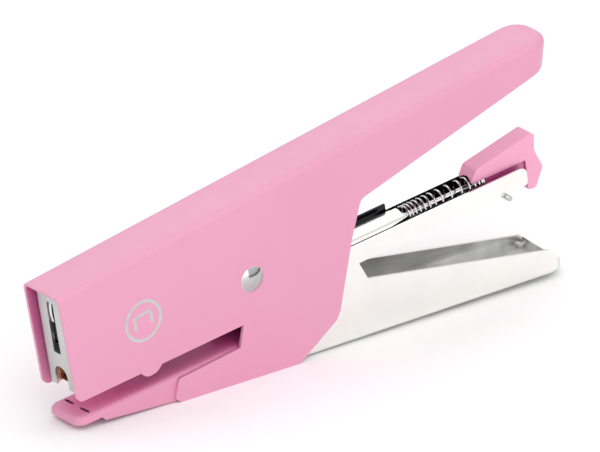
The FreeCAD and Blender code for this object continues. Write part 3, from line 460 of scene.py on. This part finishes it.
# The pusher spring: closed turns at both ends, and turns that stand wider apart past its middle.

COIL_PITCHES = [0.3, 0.7, 0.8, 0.9, 1.0, 1.1, 1.2, 1.6, 2.0, 2.2, 1.6, 1.1, 0.8, 0.6, 0.3]
STEPS_PER_TURN = 28


def make_pusher_spring():
    low, high = extent("pusher_spring")
    wire = 0.275 * MM
    mean = (high[1] - low[1]) / 2 - wire
    centre = (high[2] + low[2]) / 2
    start, end = low[0] + wire, high[0] - wire
    scale = (end - start) / sum(COIL_PITCHES)
    points = []
    along = start
    for pitch in COIL_PITCHES:
        for step in range(STEPS_PER_TURN):
            turn = 2 * math.pi * step / STEPS_PER_TURN
            spot = along + pitch * scale * step / STEPS_PER_TURN
            points.append(rail_point(spot, mean * math.sin(turn), centre + mean * math.cos(turn)))
        along += pitch * scale
    points.append(rail_point(end, 0, centre + mean))
    spring = new_piece("pusher_coil", lambda shape: add_wire(shape, points, round_profile(wire), RAIL),
                       "pusher", "spring_steel")
    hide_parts("pusher_spring")
    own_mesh(spring)


# The return spring: a close coil around the bush.

RETURN_TURNS = 5.5


def make_return_spring():
    low, high = extent("return_spring")
    wire = 0.45 * MM
    mean = (high[0] - low[0]) / 2 - wire
    width = high[1] - low[1] - 2 * wire
    steps = int(RETURN_TURNS * STEPS_PER_TURN)
    coil = []
    for step in range(steps + 1):
        turn = 2 * math.pi * RETURN_TURNS * step / steps
        across = -width / 2 + width * step / steps
        coil.append(rail_point(mean * math.cos(turn), across, mean * math.sin(turn)))
    spring = new_piece("return_coil", lambda shape: add_wire(shape, coil, round_profile(wire), ACROSS),
                       "magazine", "spring_steel")
    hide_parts("return_spring")


# The leaf in the front plate's slot: bowed, set towards the far side, with a few pressed ripples
# near its upper end.

LEAF_SHARE = 0.62
LEAF_ASIDE = 0.45
LEAF_SHEET = 0.2 * MM
RIPPLES = 7
RIPPLES_START = 0.45


def make_leaf():
    low, high = extent("leaf_spring", PLATE_AXES)
    width = LEAF_SHARE * (high[1] - low[1])
    aside = LEAF_ASIDE * width
    thick = LEAF_SHEET
    steps = 80
    points = []
    for step in range(steps + 1):
        share = step / steps
        bow = math.sin(math.pi * share)
        fade = max(0.0, (share - RIPPLES_START) / (1 - RIPPLES_START))
        ripple = 0.5 * (1 + math.sin(2 * RIPPLES * math.pi * share)) * fade
        depth = high[0] - thick - (high[0] - low[0] - 2 * thick) * (0.85 * bow + 0.15 * bow * ripple)
        rise = low[2] + (high[2] - low[2]) * share
        points.append(laid(PLATE_AXES, depth + 0.1 * MM * ripple, aside, rise))
    section = flat_profile(width / 2, thick / 2, thick / 4)
    leaf = new_piece("leaf", lambda shape: add_wire(shape, points, section, ACROSS),
                     "magazine", "spring_steel")
    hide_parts("leaf_spring")


# The printed mark: a plain ring around a staple's outline, in gray on the near side of the head.

MARK_BACK = 28.5 * MM
MARK_HEIGHT = 27.6 * MM
MARK_TILT = 11
INK_PROUD = 0.02 * MM


def make_mark():
    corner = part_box("casing")[0]
    centre = Vector((corner.x + MARK_BACK, corner.y, MARK_HEIGHT))
    tilt = math.radians(MARK_TILT)
    right = Vector((math.cos(tilt), 0, math.sin(tilt)))
    up = Vector((-math.sin(tilt), 0, math.cos(tilt)))
    outer, inner = 6.2 * MM, 5.3 * MM
    half, drop, line = 2.8 * MM, 2.0 * MM, 0.45 * MM

    def build(shape):
        def place(across, rise):
            return shape.verts.new(centre + right * across + up * rise + Vector((0, -INK_PROUD, 0)))

        sides = 96
        turns = [2 * math.pi * side / sides for side in range(sides)]
        rings = [[place(radius * math.cos(turn), radius * math.sin(turn)) for turn in turns]
                 for radius in (outer, inner)]
        for side in range(sides):
            following = (side + 1) % sides
            shape.faces.new((rings[0][side], rings[0][following], rings[1][following], rings[1][side]))
        outline = [(-half, -drop), (-half, drop), (half, drop), (half, -drop)]
        outside = [place(across - line * (1 if across < 0 else -1), rise + (line if rise > 0 else 0))
                   for across, rise in outline]
        inside = [place(across + line * (1 if across < 0 else -1), rise - (line if rise > 0 else 0))
                  for across, rise in outline]
        for index in range(3):
            shape.faces.new((outside[index], outside[index + 1], inside[index + 1], inside[index]))

    new_piece("printed_mark", build, "casing", "painted_steel", GRAY_INK)


make_staples()
make_pusher_spring()
make_return_spring()
make_leaf()
make_mark()


# ---- floor, light and camera ----

BOX_MIDDLE = (Vector(CAD_BOX[0]) + Vector(CAD_BOX[1])) / 2


def stage_floor():
    """A plain pale floor."""
    bpy.ops.mesh.primitive_plane_add(size=6, location=(0, 0, CAD_BOX[0][2]))
    floor = bpy.context.object
    floor.name = "stage_floor"
    look = Shader("stage_floor")
    tone = look.remap(look.noise(3, 2), 0, 1)
    look.link(look.blend(tone, (0.97, 0.97, 0.97), (0.98, 0.98, 0.98)), look.surface.inputs["Base Color"])
    look.set(Roughness=0.8)
    floor.data.materials.append(look.material)


def area_light(name, position, size, power, target=BOX_MIDDLE):
    """A soft square light that faces the object."""
    light = bpy.data.lights.new(name, "AREA")
    light.size = size
    light.energy = power
    lamp = bpy.data.objects.new(name, light)
    bpy.context.scene.collection.objects.link(lamp)
    lamp.location = position
    lamp.rotation_euler = (target - Vector(position)).to_track_quat("-Z", "Y").to_euler()


def studio_sky(low, high, top):
    """A soft overhead light with a dark band near the horizon, which gives bright metal something to show."""
    world = bpy.data.worlds.new("studio")
    bpy.context.scene.world = world
    world.use_nodes = True
    tree = world.node_tree
    place = tree.nodes.new("ShaderNodeTexCoord")
    parts = tree.nodes.new("ShaderNodeSeparateXYZ")
    tree.links.new(place.outputs["Generated"], parts.inputs[0])
    total = tree.nodes.new("ShaderNodeMath")
    for socket, band in zip(total.inputs, ((0.05, 0.22, low, high), (0.22, 0.9, 0.0, top - high))):
        ramp = tree.nodes.new("ShaderNodeMapRange")
        for name, number in zip(("From Min", "From Max", "To Min", "To Max"), band):
            ramp.inputs[name].default_value = number
        tree.links.new(parts.outputs["Z"], ramp.inputs["Value"])
        tree.links.new(ramp.outputs["Result"], socket)
    tree.links.new(total.outputs[0], tree.nodes["Background"].inputs["Strength"])
    tree.nodes["Background"].inputs["Color"].default_value = (1, 1, 1, 1)


def aim_camera(azimuth=-38.0, elevation=24.0, lens=1000, width=0.1622, right=-0.0002, up=-0.00045):
    """A long lens that looks at the middle of the box, with the whole stapler across the picture."""
    turn, tip = math.radians(azimuth), math.radians(elevation)
    back = Vector((math.sin(turn) * math.cos(tip), -math.cos(turn) * math.cos(tip), math.sin(tip)))
    side = Vector((math.cos(turn), math.sin(turn), 0))
    top = back.cross(side)
    data = bpy.data.cameras.new("camera")
    data.lens = lens
    data.sensor_width = 36
    data.clip_end = 50
    camera = bpy.data.objects.new("camera", data)
    bpy.context.scene.collection.objects.link(camera)
    aim = BOX_MIDDLE + side * right + top * up
    distance = width * lens / data.sensor_width
    facing = Matrix((side, top, back)).transposed().to_4x4()
    camera.matrix_world = Matrix.Translation(aim + back * distance) @ facing
    bpy.context.scene.camera = camera


stage_floor()
studio_sky(low=0.06, high=0.84, top=1.02)
area_light("key", (-0.25, -0.45, 0.75), 0.6, 0.9)
area_light("fill", (-0.30, -0.75, 0.28), 0.6, 1.4)
area_light("sheen", (0.33, -0.42, 0.76), 0.3, 0.45)
area_light("back", (0.35, 0.55, 0.55), 0.5, 0.4)
aim_camera()
bpy.context.scene.view_settings.view_transform = "Standard"
